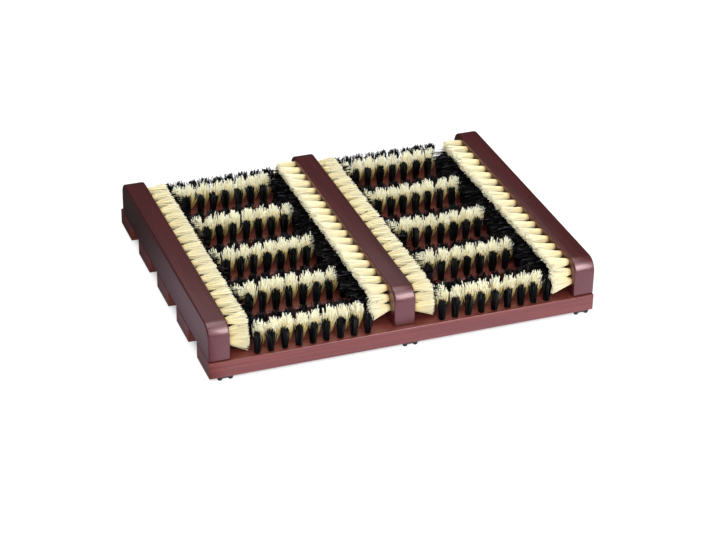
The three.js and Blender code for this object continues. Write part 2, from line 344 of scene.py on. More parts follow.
@dataclass(frozen=True)
class Bristle:
    """Crimped nylon bristle cut square.

    The eye gets strands that differ in tone at random. Along each strand the colour carries painted shade, darker
    towards the root, and painted light, paler at the cut head; where rarity is above 1, the few much brighter
    strands are painted glints.
    """

    name: str
    # root, middle and head are the colours from root to cut head: painted shade at the root, painted light at the
    # head
    root: str
    middle: str
    head: str
    roughness: float
    shades: Pair
    paling: float
    shine: float = 0.5
    glow: float = 0.0
    glow_reach: Triple = (0.002, 0.0016, 0.001)
    # rarity above 1 leaves few strands much brighter, as painted glints
    rarity: float = 1.0

    def build(self) -> Material:
        """Make bristle that is coloured along its strands by their attributes along and shade."""
        material, tree, shader = new_material(self.name, {
            "Roughness": self.roughness, "IOR": REFRACTION, "Specular IOR Level": self.shine,
            "Subsurface Weight": self.glow, "Subsurface Radius": self.glow_reach, "Subsurface Scale": 1.0})
        along, shade = (node(tree, "ShaderNodeAttribute", {"attribute_name": name}).outputs["Fac"]
                        for name in ("along", "shade"))
        # Painted shade darkens the strand towards its root, and painted light pales its cut head.
        colour = colour_ramp(tree, along, ((0.0, self.root), (self.paling, self.middle), (1.0, self.head)))
        # A random tone for each strand; raised to rarity, its rare bright strands are painted glints.
        level = mapped(tree, calculate(tree, "POWER", shade, self.rarity), (0.0, 1.0), self.shades)
        tinted = node(tree, "ShaderNodeVectorMath", {"operation": "SCALE"}, {0: colour, "Scale": level})
        tree.links.new(tinted.outputs["Vector"], shader.inputs["Base Color"])
        return material


@dataclass(frozen=True)
class PlainFinish:
    """A plain even finish, such as moulded rubber or zinc-plated steel."""

    name: str
    colour: str
    roughness: float
    metallic: float = 0.0

    def build(self) -> Material:
        """Make the material, the same all over the surface."""
        return new_material(self.name, {
            "Base Color": linear(self.colour), "Roughness": self.roughness, "Metallic": self.metallic})[0]


@dataclass(frozen=True)
class TuftSite:
    """Where one tuft stands: its root, the way it points, the way its row runs and its share of the length."""

    root: Vector
    axis: Vector
    row: Vector
    reach: float = 1.0


@dataclass(frozen=True)
class TuftStyle:
    """How the strands of one kind of tuft grow.

    The lengths are in metres. The fans say how far the rim's heads stand out, and lean how far a whole tuft can.
    Wild is how far a head can stray, and strays how much more the rare wildest do. Ragged and crown are shares of
    the length: the spread between strands, and how much shorter the rim is. Flare bows the strands inward.
    """

    length: float
    root_radius: float
    fan_along_row: float
    fan_across_row: float
    strands: int
    strand_width: float
    ragged: float
    wild: float
    strays: float
    lean: float
    flare: float
    crown: float

    @staticmethod
    def label(field_name: str) -> str:
        """The name of the tree's input for a field."""
        return field_name.replace("_", " ").title()


UPRIGHT_BLACK = TuftStyle(
    length=0.0242, root_radius=0.0033, fan_along_row=0.0038, fan_across_row=0.0052, strands=105,
    strand_width=0.00080, ragged=0.18, wild=0.0018, strays=2.5, lean=0.0008, flare=0.0, crown=0.10)
UPRIGHT_CREAM = TuftStyle(
    length=0.0300, root_radius=0.0038, fan_along_row=0.0064, fan_across_row=0.0062, strands=105,
    strand_width=0.00102, ragged=0.17, wild=0.0034, strays=2.5, lean=0.0018, flare=-0.0008, crown=0.30)
SIDE_CREAM = TuftStyle(
    length=0.0238, root_radius=0.0031, fan_along_row=0.0106, fan_across_row=0.0054, strands=220,
    strand_width=0.00084, ragged=0.15, wild=0.0012, strays=2.0, lean=0.0008, flare=0.0001, crown=0.04)
SIDE_BLACK = TuftStyle(
    length=0.0345, root_radius=0.0026, fan_along_row=0.0150, fan_across_row=0.0080, strands=260,
    strand_width=0.00060, ragged=0.55, wild=0.0072, strays=0.3, lean=0.0015, flare=-0.0006, crown=0.10)


class GeometryTree:
    """A Geometry Nodes tree with named inputs that turns a mesh of places into a finished piece."""

    def __init__(self, name: str, sockets: dict[str, str]) -> None:
        """Make the tree.

        Args:
            name: Its name.
            sockets: The kinds of its inputs by name, apart from Places and Material.
        """
        self.tree = bpy.data.node_groups.new(name, "GeometryNodeTree")
        face = self.tree.interface
        face.new_socket("Places", in_out="INPUT", socket_type="NodeSocketGeometry")
        self.identifier = {
            label: face.new_socket(label, in_out="INPUT", socket_type=kind).identifier
            for label, kind in (sockets | {"Material": "NodeSocketMaterial"}).items()}
        face.new_socket("Piece", in_out="OUTPUT", socket_type="NodeSocketGeometry")
        self.given = node(self.tree, "NodeGroupInput").outputs
        dressed = self._geometry("SetMaterial", Geometry=self._fill(), Material=self.given["Material"])
        node(self.tree, "NodeGroupOutput", inputs={0: dressed})

    def _geometry(self, kind: str, settings: Optional[dict[str, Any]] = None, **inputs: Any) -> Socket:
        """Add one geometry node and give its first output."""
        return node(self.tree, "GeometryNode" + kind, settings, inputs).outputs[0]

    def _fill(self) -> Socket:
        """Add the nodes and give the piece's geometry."""
        raise NotImplementedError

    def run(self, name: str, places: Mesh, values: dict[str, Any]) -> Object:
        """Make one finished plain mesh piece.

        Args:
            name: Its name.
            places: A mesh with a vertex at each place.
            values: Values of the tree's inputs by name.
        """
        source = scene_object(name + "_source", places)
        modifier = modify(source, "NODES", node_group=self.tree)
        for label, value in values.items():
            modifier[self.identifier[label]] = value
        return settle(source, name)


class BristleTree(GeometryTree):
    """Fills tuft sites with strands that grow from a round hole and fan out."""

    LONGER = 0.35  # share of the raggedness by which a strand can be longer than its tuft
    STRAY_RARITY = 24.0  # power of a random number that leaves few strays
    SIDES = 3
    SEGMENTS = 2
    BOW = 4.0  # makes the bow 1 halfway along a strand

    def __init__(self) -> None:
        """Make the tree, with an input for each field of a tuft's style."""
        kinds = {float: "NodeSocketFloat", int: "NodeSocketInt"}
        sockets = {TuftStyle.label(field.name): kinds[field.type] for field in fields(TuftStyle)}
        super().__init__("bristle_tufts", sockets | {"Seed": kinds[int]})

    def _random(self, draw: Draw, low: float, high: float,
                by: Optional[Socket] = None) -> Socket:
        """One random number for each strand, or for each value of an id such as the tuft's number.

        The limits go by index, because the node has limits of the same names for each data type.
        """
        inputs = {2: low, 3: high, "Seed": self._math("ADD", self.given["Seed"], float(draw.value))}
        if by is not None:
            inputs["ID"] = by
        return node(self.tree, "FunctionNodeRandomValue", {"data_type": "FLOAT"}, inputs).outputs[1]

    def _vector(self, operation: str, first: Any, second: Any = (0, 0, 0)) -> Socket:
        """One arithmetic step on vectors."""
        return node(self.tree, "ShaderNodeVectorMath", {"operation": operation}, {0: first, 1: second}).outputs[0]

    def _scaled(self, vector: Any, factor: Any) -> Socket:
        """A vector times a number."""
        return node(self.tree, "ShaderNodeVectorMath", {"operation": "SCALE"}, {
            0: vector, "Scale": factor}).outputs[0]

    def _sum(self, *vectors: Socket) -> Socket:
        """The sum of some vectors."""
        total = vectors[0]
        for vector in vectors[1:]:
            total = self._vector("ADD", total, vector)
        return total

    def _math(self, operation: str, first: Any, second: Any = 0.0) -> Socket:
        """One arithmetic step on numbers."""
        return calculate(self.tree, operation, first, second)

    def _times(self, first: Any, second: Any) -> Socket:
        """The product of two numbers."""
        return self._math("MULTIPLY", first, second)

    def _store(self, geometry: Socket, name: str, value: Any, kind: str = "FLOAT",
               domain: str = "POINT") -> Socket:
        """Keep a value of a kind on a geometry's points or instances under a name."""
        return self._geometry("StoreNamedAttribute", {"data_type": kind, "domain": domain},
                              Geometry=geometry, Name=name, Value=value)

    def _stored(self, name: str, kind: str = "FLOAT") -> Socket:
        """A value that is kept on the geometry."""
        return self._geometry("InputNamedAttribute", {"data_type": kind}, Name=name)

    def _fill(self) -> Socket:
        """Add the nodes: copies of each site, their roots and heads, and one strand on each."""
        tree, given, number, times, geometry = self.tree, self.given, self._random, self._times, self._geometry
        add, scaled, step, stored = self._sum, self._scaled, self._math, self._stored
        points = geometry("MeshToPoints", Mesh=given["Places"])
        counted = self._store(points, "tuft", geometry("InputIndex"), "INT")
        copies = geometry("DuplicateElements", {"domain": "POINT"}, Geometry=counted, Amount=given["Strands"])
        axis, row = stored("axis", "FLOAT_VECTOR"), stored("row", "FLOAT_VECTOR")
        tuft = stored("tuft", "INT")
        across = self._vector("CROSS_PRODUCT", axis, self._vector("NORMALIZE", row))

        def aside(along_row: Any, across_row: Any) -> Socket:
            """A step along the row and one across it."""
            return add(scaled(row, along_row), scaled(across, across_row))

        angle = number(Draw.ANGLE, 0.0, 2 * math.pi)
        radius = step("POWER", number(Draw.RADIUS, 0.0, 1.0), 0.5)  # the root spreads the strands evenly
        u = times(step("COSINE", angle), radius)
        v = times(step("SINE", angle), radius)
        root = scaled(aside(u, v), given["Root Radius"])

        ragged = times(number(Draw.RAGGED, -1.0, self.LONGER), given["Ragged"])
        domed = times(times(radius, radius), given["Crown"])
        length = times(times(given["Length"], stored("reach")),
                             step("SUBTRACT", step("ADD", ragged, 1.0), domed))
        fan = aside(times(u, given["Fan Along Row"]), times(v, given["Fan Across Row"]))
        chance = step("POWER", number(Draw.STRAY_CHANCE, 0.0, 1.0), self.STRAY_RARITY)
        odd = step("ADD", times(chance, given["Strays"]), 1.0)
        wild = times(odd, given["Wild"])
        stray = aside(times(number(Draw.STRAY_ALONG, -1.0, 1.0), wild),
                      times(number(Draw.STRAY_ACROSS, -1.0, 1.0), wild))
        lean = aside(times(number(Draw.LEAN_ALONG, -1.0, 1.0, tuft), given["Lean"]),
                     times(number(Draw.LEAN_ACROSS, -1.0, 1.0, tuft), given["Lean"]))
        head = add(scaled(axis, length), fan, stray, lean)
        way = self._vector("SUBTRACT", head, root)
        span = node(tree, "ShaderNodeVectorMath", {"operation": "LENGTH"}, {0: way}).outputs["Value"]

        strand = node(tree, "GeometryNodeMeshCylinder", {"fill_type": "NGON"}, {
            "Vertices": self.SIDES, "Side Segments": self.SEGMENTS, "Radius": 0.5, "Depth": 1.0})
        lifted = geometry("Transform", Geometry=strand.outputs["Mesh"], Translation=(0, 0, 0.5))
        height = node(tree, "ShaderNodeSeparateXYZ", inputs={0: geometry("InputPosition")})
        measured = self._store(lifted, "along", height.outputs["Z"])
        moved = geometry("SetPosition", Geometry=copies, Offset=root)
        turn = node(tree, "FunctionNodeAlignRotationToVector", {"axis": "Z"}, {"Vector": way})
        width = given["Strand Width"]
        size = node(tree, "ShaderNodeCombineXYZ", inputs={"X": width, "Y": width, "Z": span})
        planted = geometry("InstanceOnPoints", Points=moved, Instance=measured, Rotation=turn.outputs[0],
                           Scale=size.outputs[0])
        flare = scaled(aside(u, v), given["Flare"])
        curved = self._store(planted, "flare", flare, "FLOAT_VECTOR", "INSTANCE")
        shaded = self._store(curved, "shade", number(Draw.SHADE, 0.0, 1.0), domain="INSTANCE")
        real = geometry("RealizeInstances", Geometry=shaded)

        along = stored("along")
        bow = times(step("SUBTRACT", times(along, along), along), self.BOW)
        return geometry("SetPosition", Geometry=real, Offset=scaled(stored("flare", "FLOAT_VECTOR"), bow))

    def grow(self, name: str, sites: Sequence[TuftSite], style: TuftStyle, seed: int,
             finish: Material) -> Object:
        """Make a finished plain mesh piece of strands.

        Args:
            name: The piece's name.
            sites: Where the tufts stand.
            style: How their strands grow.
            seed: The seed of the piece's random numbers.
            finish: The strands' material.
        """
        mesh = point_mesh(name + "_sites", [site.root for site in sites])
        for label in ("axis", "row"):
            data = mesh.attributes.new(label, "FLOAT_VECTOR", "POINT").data
            for i, site in enumerate(sites):
                data[i].vector = getattr(site, label)
        data = mesh.attributes.new("reach", "FLOAT", "POINT").data
        for i, site in enumerate(sites):
            data[i].value = site.reach
        values = {TuftStyle.label(field_name): value for field_name, value in asdict(style).items()}
        return self.run(name, mesh, values | {"Seed": seed, "Material": finish})


class RepeatTree(GeometryTree):
    """Sets one shape on each place, turned about Z at random."""

    SEED = 7
    SHARP_FROM = 35.0  # degrees

    def __init__(self) -> None:
        """Make the tree once for the screws and the feet."""
        super().__init__("shape_on_places", {
            "Shape": "NodeSocketObject", "Turn": "NodeSocketFloat", "Seed": "NodeSocketInt"})

    def _fill(self) -> Socket:
        """Add the nodes that set the shape on the places, and give the copies."""
        tree, given = self.tree, self.given
        info = node(tree, "GeometryNodeObjectInfo", inputs={"Object": given["Shape"]})
        chance = node(tree, "FunctionNodeRandomValue", {"data_type": "FLOAT"}, {"Seed": given["Seed"]})
        angle = calculate(tree, "MULTIPLY", chance.outputs[1], given["Turn"])
        spin = node(tree, "ShaderNodeCombineXYZ", inputs={"Z": angle})
        copies = self._geometry("InstanceOnPoints", Points=given["Places"], Instance=info.outputs["Geometry"],
                                Rotation=spin.outputs[0])
        return self._geometry("RealizeInstances", Geometry=copies)

    def repeat(self, name: str, shape: Mesh, places: Sequence[Vector], turn: float,
               finish: Material) -> Object:
        """Make a finished plain mesh piece of copies.

        Args:
            name: The piece's name.
            shape: The shape, standing at its own origin.
            places: Where the copies stand, in metres.
            turn: Greatest random turn about Z in radians.
            finish: The copies' material.
        """
        model = scene_object(name + "_model", shape)
        made = self.run(name, point_mesh(name + "_places", places), {
            "Shape": model, "Turn": turn, "Seed": self.SEED, "Material": finish})
        bpy.data.objects.remove(model)
        return smoothed(made, self.SHARP_FROM)


@dataclass
class Mat:
    """Sizes that the whole mat shares, in millimetres."""

    width: float = 440.0
    depth: float = 356.0
    foot_height: float = 4.0
    slat_depth: float = 46.0
    slat_thickness: float = 19.0
    slat_count: int = 5
    rail_width: float = 24.0
    rail_height: float = 42.0
    rail_length: float = 345.0
    outer_set_back: float = 2.0
    centre_set_back: float = 7.0

    @property
    def slat_top(self) -> float:
        """Height of the boards' upper faces."""
        return self.foot_height + self.slat_thickness

    @property
    def rail_x(self) -> float:
        """Distance of the outer rails' middles from the centre line."""
        return (self.width - self.rail_width) / 2

    def slat_middle(self, number: int) -> float:
        """Middle of a board along Y, where number 0 is the front one."""
        pitch = (self.depth - self.slat_depth) / (self.slat_count - 1)
        return -self.depth / 2 + self.slat_depth / 2 + number * pitch


@dataclass
class Fixings:
    """Countersunk wood screws that come up through the boards into the rails, in millimetres.

    The thread's core ends and its crest starts at thread_rise, two shares of its pitch.
    """

    mat: Mat
    head_radius: float = 4.0
    head_edge: float = 0.15
    head_rim: float = 0.5
    head_height: float = 2.9
    recess: Triple = (4.2, 0.9, 2.4)
    shank_radius: float = 2.0
    core_radius: float = 1.45
    plain_length: float = 3.0
    length: float = 40.0
    point: float = 6.0
    tip: float = 1.5
    thread_pitch: float = 2.2
    thread_rise: Pair = (0.6, 0.8)
    gap: float = 0.3
    screw_steps: int = 16
    hole_steps: int = 24

    def hole(self) -> Mesh:
        """The hole of one screw, standing at its head's face."""
        head, shank = self.head_radius + self.gap, self.shank_radius + self.gap
        return turned_mesh([
            (0, -1), (head, -1), (head, self.head_rim + self.gap), (shank, self.head_height + self.gap),
            (shank, self.length - self.point), (0, self.length + self.gap)], self.hole_steps)

    def places(self) -> list[Vector]:
        """Where the screws' heads lie, in metres."""
        xs = (-self.mat.rail_x, 0.0, self.mat.rail_x)
        return [Vector((x, self.mat.slat_middle(i), self.mat.foot_height)) * MM
                for i in range(self.mat.slat_count) for x in xs]

    def shape(self) -> Mesh:
        """One screw with a cross recess in its head and a thread that thins to its point."""
        profile = [(0, 0), (self.head_radius - self.head_edge, 0), (self.head_radius, self.head_edge),
                   (self.head_radius, self.head_rim), (self.shank_radius, self.head_height)]
        core_end, crest_start = self.thread_rise
        height = self.head_height + self.plain_length
        while height < self.length - self.tip:
            taper = min(1.0, (self.length - height) / self.point)
            core, crest = self.core_radius * taper, self.shank_radius * taper
            profile += [(core, height), (core, height + self.thread_pitch * core_end),
                        (crest, height + self.thread_pitch * crest_start)]
            height += self.thread_pitch
        profile.append((0, self.length))
        screw = scene_object("screw_source", turned_mesh(profile, self.screw_steps))
        build = bmesh.new()
        for turn in (0, math.pi / 2):
            add_block(build, self.recess, turn=turn)
        cutter = scene_object("recess", finished_mesh(build, "recess"))
        modify(screw, "BOOLEAN", object=cutter, solver="EXACT", use_self=True)
        made = settle(screw, "screw_shape")
        mesh = made.data
        for helper in (cutter, made):
            bpy.data.objects.remove(helper)
        return mesh


@dataclass
class Woodwork:
    """Shapes the boards and rails and drills them for the screws, in millimetres and degrees."""

    mat: Mat
    fixings: Fixings
    board_ease: float = 0.9
    rail_ease: float = 1.8
    ease_steps: int = 4
    ease_from: float = 35.0
    sharp_from: float = 28.0
    end_radius: float = 16.0
    end_steps: int = 16

    def __post_init__(self) -> None:
        """Make one cutter that drills every hole."""
        build = bmesh.new()
        for place in self.fixings.places():
            hole = self.fixings.hole()
            hole.transform(Matrix.Translation(place))
            build.from_mesh(hole)
            bpy.data.meshes.remove(hole)
        self.cutter = scene_object("drill", finished_mesh(build, "drill"))

    def _carve(self, name: str, build: BMesh, ease: float, finish: Material) -> Object:
        """Ease a blank's sharp edges to a radius, drill it and dress it."""
        mesh = finished_mesh(build, name)
        mesh.materials.append(finish)
        source = scene_object(name + "_source", mesh)
        modify(source, "BEVEL", width=ease * MM, segments=self.ease_steps, limit_method="ANGLE",
               angle_limit=math.radians(self.ease_from), harden_normals=False)
        modify(source, "BOOLEAN", object=self.cutter, solver="EXACT")
        return smoothed(settle(source, name), self.sharp_from)

    def slat(self, number: int, finish: Material) -> Object:
        """Make one board, where number 0 is the front one."""
        mat = self.mat
        build = bmesh.new()
        add_block(build, (mat.width, mat.slat_depth, mat.slat_thickness),
                  (0, mat.slat_middle(number), mat.foot_height + mat.slat_thickness / 2))
        return self._carve(f"board_{number + 1}", build, self.board_ease, finish)

    def rail(self, name: str, x: float, set_back: float, finish: Material) -> Object:
        """Make one rail with rounded-over ends.

        Args:
            name: The piece's name.
            x: Middle of the rail.
            set_back: Distance of its front end from the mat's front edge.
            finish: Its material.
        """
        mat, radius = self.mat, self.end_radius
        front = -mat.depth / 2 + set_back
        back = front + mat.rail_length
        outline = [(front, 0.0), (back, 0.0)]
        for quarter, middle in enumerate((back - radius, front + radius)):
            for i in range(self.end_steps + 1):
                a = math.pi / 2 * (quarter + i / self.end_steps)
                outline.append((middle + radius * math.cos(a), mat.rail_height - radius + radius * math.sin(a)))
        build = bmesh.new()
        sides = []
        for side in RailSide:
            edge = x + side.value * mat.rail_width / 2
            sides.append([build.verts.new(Vector((edge, y, z + mat.slat_top)) * MM) for y, z in outline])
        build.faces.new(sides[0])
        build.faces.new(list(reversed(sides[1])))
        for i in range(len(outline)):
            j = (i + 1) % len(outline)
            build.faces.new([sides[0][i], sides[1][i], sides[1][j], sides[0][j]])
        return self._carve(name, build, self.rail_ease, finish)


@dataclass
class Brushes:
    """All the tufts, in millimetres: three rows on each board in both lanes, and two on each brushed rail face.

    The columns stand past the ends of a cream side row: how far past the last tuft, and how high over the boards.
    """

    mat: Mat
    tree: BristleTree
    black: Material
    side_black: Material
    upright_cream: Material
    side_cream: Material
    sunk: float = 0.5
    black_per_row: int = 9
    end_tuft: float = 30.4
    row_from_edge: float = 7.0
    back_reach: float = 1.11
    back_spread: float = 1.55
    side_cream_count: int = 18
    side_from_end: float = 21.4
    side_cream_height: float = 34.5
    side_black_height: float = 26.2
    side_black_drop: float = 0.20
    columns: tuple[Pair, ...] = ((6.0, 25.2), (10.0, 15.7))
    column_drop: float = 0.05
    back_lean: float = 0.22

    def _row(self, number: int, count: int, offset: float, reach: float = 1.0,
             spread: float = 1.0) -> list[TuftSite]:
        """Sites of one row of a board, at an offset from its middle and with a count of tufts in each lane.

        Reach and spread are their length and their width along the row, as shares of the usual ones.
        """
        mat = self.mat
        lane = mat.rail_x / 2
        pitch = (mat.rail_x - mat.rail_width - 2 * self.end_tuft) / (self.black_per_row - 1)
        y = mat.slat_middle(number) + offset
        return [
            TuftSite(Vector((side * lane + (i - (count - 1) / 2) * pitch, y, mat.slat_top - self.sunk)) * MM,
                     Vector((0, 0, 1)), Vector((spread, 0, 0)), reach)
            for side in (-1, 1) for i in range(count)]

    def grow_board(self, number: int) -> None:
        """Grow the black and cream tufts of one board, where number 0 is the front one."""
        offset = self.mat.slat_depth / 2 - self.row_from_edge
        black = self._row(number, self.black_per_row, -offset)
        black += self._row(number, self.black_per_row, offset, self.back_reach, self.back_spread)
        cream = self._row(number, self.black_per_row - 1, 0)
        for colour, sites, style, seed, finish in (
                ("black", black, UPRIGHT_BLACK, 100, self.black),
                ("cream", cream, UPRIGHT_CREAM, 200, self.upright_cream)):
            name = f"board_{number + 1}_{colour}_bristles"
            piece = self.tree.grow(name, sites, style, seed + number, finish)
            hand_over(piece, [f"{colour}_tufts_{number + 1}"])

    def grow_rail_face(self, face: str, x: float, side: RailSide, set_back: float, shift: float) -> None:
        """Grow the cream and black rows of one rail face.

        Args:
            face: The face's name.
            x: The face's place.
            side: The way the brushes point.
            set_back: Distance of the rail's front end from the mat's front edge.
            shift: How far the rows stand behind the rail's middle.
        """
        mat = self.mat
        middle = -mat.depth / 2 + set_back + mat.rail_length / 2 + shift
        row_end = mat.rail_length / 2 - self.side_from_end
        pitch = 2 * row_end / (self.side_cream_count - 1)
        inside = x - side.value * self.sunk
        along_rail, upward = Vector((0, 1, 0)), Vector((0, 0, 1))

        def site(y: float, z: float, drop: float = 0.0, spread: Vector = along_rail) -> TuftSite:
            """One sideways site at a distance from the row's middle and a height over the boards."""
            inward = self.back_lean if y > row_end - pitch / 4 else 0.0
            axis = (Vector((side.value, 0, 0)) + Vector((0, -inward, -drop))).normalized()
            return TuftSite(Vector((inside, middle + y, mat.slat_top + z)) * MM, axis, spread)

        cream = [site(i * pitch - row_end, self.side_cream_height) for i in range(self.side_cream_count)]
        for step, (past, height) in enumerate(self.columns):
            for y in (-row_end - past, row_end + past):
                cream.append(site(y, height, self.column_drop * (step + 1), upward))
        black = [site((i + 0.5) * pitch - row_end, self.side_black_height, self.side_black_drop)
                 for i in range(self.side_cream_count - 1)]
        for colour, sites, style, seed, finish in (
                ("cream", cream, SIDE_CREAM, 300, self.side_cream),
                ("black", black, SIDE_BLACK, 400, self.side_black)):
            piece = self.tree.grow(f"{face}_{colour}_bristles", sites, style, seed + int(x), finish)
            hand_over(piece, [f"{colour}_side_tufts_{face}"])


@dataclass
class Feet:
    """Small black rubber feet, each a thin pad with two round studs, in millimetres.

    The rounding of a stud's lower edge is given as steps from its radius, with their heights.
    """

    mat: Mat
    pad_length: float = 18.0
    pad_depth: float = 5.6
    pad_thickness: float = 1.2
    pad_corner: float = 2.5
    corner_steps: int = 5
    stud_radius: float = 2.6
    stud_spacing: float = 11.6
    stud_rounding: tuple[Pair, ...] = ((-0.8, 0.0), (-0.3, 0.2), (0.0, 0.8))
    stud_overlap: float = 0.3
    stud_steps: int = 20
    from_edge: float = 3.2
    across: Triple = (-202.0, 5.0, 207.0)

    def places(self) -> list[Vector]:
        """Where the feet stand, in metres."""
        y = self.mat.depth / 2 - self.from_edge
        return [Vector((x, side, 0)) * MM for side in (-y, y) for x in self.across]

    def shape(self) -> Mesh:
        """One foot, standing at its own origin."""
        build = bmesh.new()
        height = self.mat.foot_height
        low = height - self.pad_thickness
        add_block(build, (self.pad_length, self.pad_depth, self.pad_thickness), (0, 0, (low + height) / 2))
        half = self.pad_thickness / 2 * MM
        upright = [e for e in build.edges if abs(e.verts[0].co.z - e.verts[1].co.z) > half]
        bmesh.ops.bevel(build, geom=upright, offset=self.pad_corner * MM, segments=self.corner_steps,
                        profile=0.5, affect="EDGES")
        radius, top = self.stud_radius, low + self.stud_overlap
        profile = [(0, 0)] + [(radius + step, z) for step, z in self.stud_rounding] + [(radius, top), (0, top)]
        for side in (-1, 1):
            stud = turned_mesh(profile, self.stud_steps)
            stud.transform(Matrix.Translation((side * self.stud_spacing / 2 * MM, 0, 0)))
            build.from_mesh(stud)
            bpy.data.meshes.remove(stud)
        return finished_mesh(build, "foot_shape")


@dataclass
class Floor:
    """White studio paper that the camera sees as plain white, apart from the mat's shadow, which is cast and also
    painted by fading the paper's glow under the mat. Lengths are in metres.

    Its reflections in the lacquer are painted: for reflected rays it glows faintly tinted in front of the mat and
    in a band on its left, and further back it is painted dark.
    """

    mat: Mat
    half: float = 6.0
    roughness: float = 0.9
    grey: float = 0.28
    # The painted reflection: the dark grey, the tint, the strength and the extent that reflected rays see on the
    # paper.
    mirrored_grey: float = 0.03
    mirror_tint: str = "#ffe4fa"
    mirror_strength: float = 1.5
    mirror_fade: Pair = (-0.08, 0.2)
    front_from: Pair = (-0.222, -0.2)
    left_band: Pair = (-0.26, -0.225)
    left_strength: Pair = (0.34, 0.12)
    # Inward from shadow_edge the glow fades away, which paints shadow under the mat.
    shadow_edge: Pair = (0.92, 1.0)
    glow: float = 0.8

    def _mirrored(self, tree: NodeTree, place: Any) -> Socket:
        """How strongly a spot of the floor glows as a painted reflection in the lacquer, from 0 to 1."""
        fade = mapped(tree, place["Y"], self.mirror_fade, (1.0, 0.0), smooth=True)
        in_front = mapped(tree, place["X"], self.front_from, (0.0, 1.0))
        on_left = mapped(tree, place["X"], self.left_band, self.left_strength)
        return calculate(tree, "MULTIPLY", fade, calculate(tree, "MAXIMUM", in_front, on_left))

    def _open(self, tree: NodeTree, place: Any) -> Socket:
        """How strongly a spot glows: not at all under the mat, which paints shadow there, and fully outside its
        outline.
        """
        shares = []
        for axis, length in (("X", self.mat.width), ("Y", self.mat.depth)):
            far = calculate(tree, "ABSOLUTE", place[axis])
            shares.append(calculate(tree, "DIVIDE", far, length / 2 * MM))
        beyond = calculate(tree, "MAXIMUM", *shares)
        return mapped(tree, beyond, self.shadow_edge, (0.0, self.glow), smooth=True)

    def lay(self) -> None:
        """Lay the floor, which can be looked through from below."""
        mesh = bpy.data.meshes.new("studio_floor")
        corners = [(x * self.half, y * self.half, 0) for x, y in ((-1, -1), (1, -1), (1, 1), (-1, 1))]
        mesh.from_pydata(corners, [], [(0, 1, 2, 3)])
        floor = scene_object("studio_floor", mesh)
        material, tree, shader = new_material("white_studio_paper", {"Roughness": self.roughness})
        ray = node(tree, "ShaderNodeLightPath").outputs
        place = node(tree, "ShaderNodeSeparateXYZ", inputs={
            0: node(tree, "ShaderNodeTexCoord").outputs["Object"]}).outputs
        # Painted reflection: for reflected rays the paper glows tinted in front of the mat and on its left, and
        # elsewhere it is painted dark grey.
        painted_reflection_share = calculate(tree, "MULTIPLY", ray["Is Glossy Ray"], self._mirrored(tree, place))
        dim = calculate(tree, "SUBTRACT", ray["Is Glossy Ray"], painted_reflection_share)
        greys = [(grey, grey, grey, 1) for grey in (self.grey, self.mirrored_grey)]
        tree.links.new(mixed(tree, dim, *greys), shader.inputs["Base Color"])
        looked_at = calculate(tree, "MAXIMUM", ray["Is Camera Ray"], ray["Is Transmission Ray"])
        bright = calculate(tree, "MULTIPLY", painted_reflection_share, self.mirror_strength)
        seen = calculate(tree, "MAXIMUM", looked_at, bright)
        glow = node(tree, "ShaderNodeEmission", inputs={
            "Color": mixed(tree, ray["Is Glossy Ray"], WHITE, linear(self.mirror_tint)),
            "Strength": calculate(tree, "MULTIPLY", seen, self._open(tree, place))})
        both = node(tree, "ShaderNodeAddShader", inputs={0: shader.outputs[0], 1: glow.outputs[0]})
        below = calculate(tree, "MULTIPLY", ray["Is Camera Ray"],
                          node(tree, "ShaderNodeNewGeometry").outputs["Backfacing"])
        one_sided = node(tree, "ShaderNodeMixShader", inputs={
            0: below, 1: both.outputs[0], 2: node(tree, "ShaderNodeBsdfTransparent").outputs[0]})
        output = next(n for n in tree.nodes if n.type == "OUTPUT_MATERIAL")
        tree.links.new(one_sided.outputs[0], output.inputs["Surface"])
        mesh.materials.append(material)


@dataclass(frozen=True)
class Lamp:
    """A soft lamp that looks at the mat, in metres and watts."""

    name: str
    place: Triple
    size: Pair
    power: float
    use: LampUse = LampUse.ALL

    def hang(self) -> None:
        """Hang the lamp."""
        data = bpy.data.lights.new(self.name, "AREA")
        data.shape = "RECTANGLE"
        data.size, data.size_y = self.size
        data.energy = self.power
        lamp = scene_object(self.name, data)
        lamp.location = self.place
        lamp.rotation_mode = "QUATERNION"
        lamp.rotation_quaternion = (-Vector(self.place)).to_track_quat("-Z", "Y")
        lamp.visible_diffuse = lamp.visible_camera = self.use is not LampUse.REFLECTION
        lamp.visible_glossy = self.use is not LampUse.LIGHT


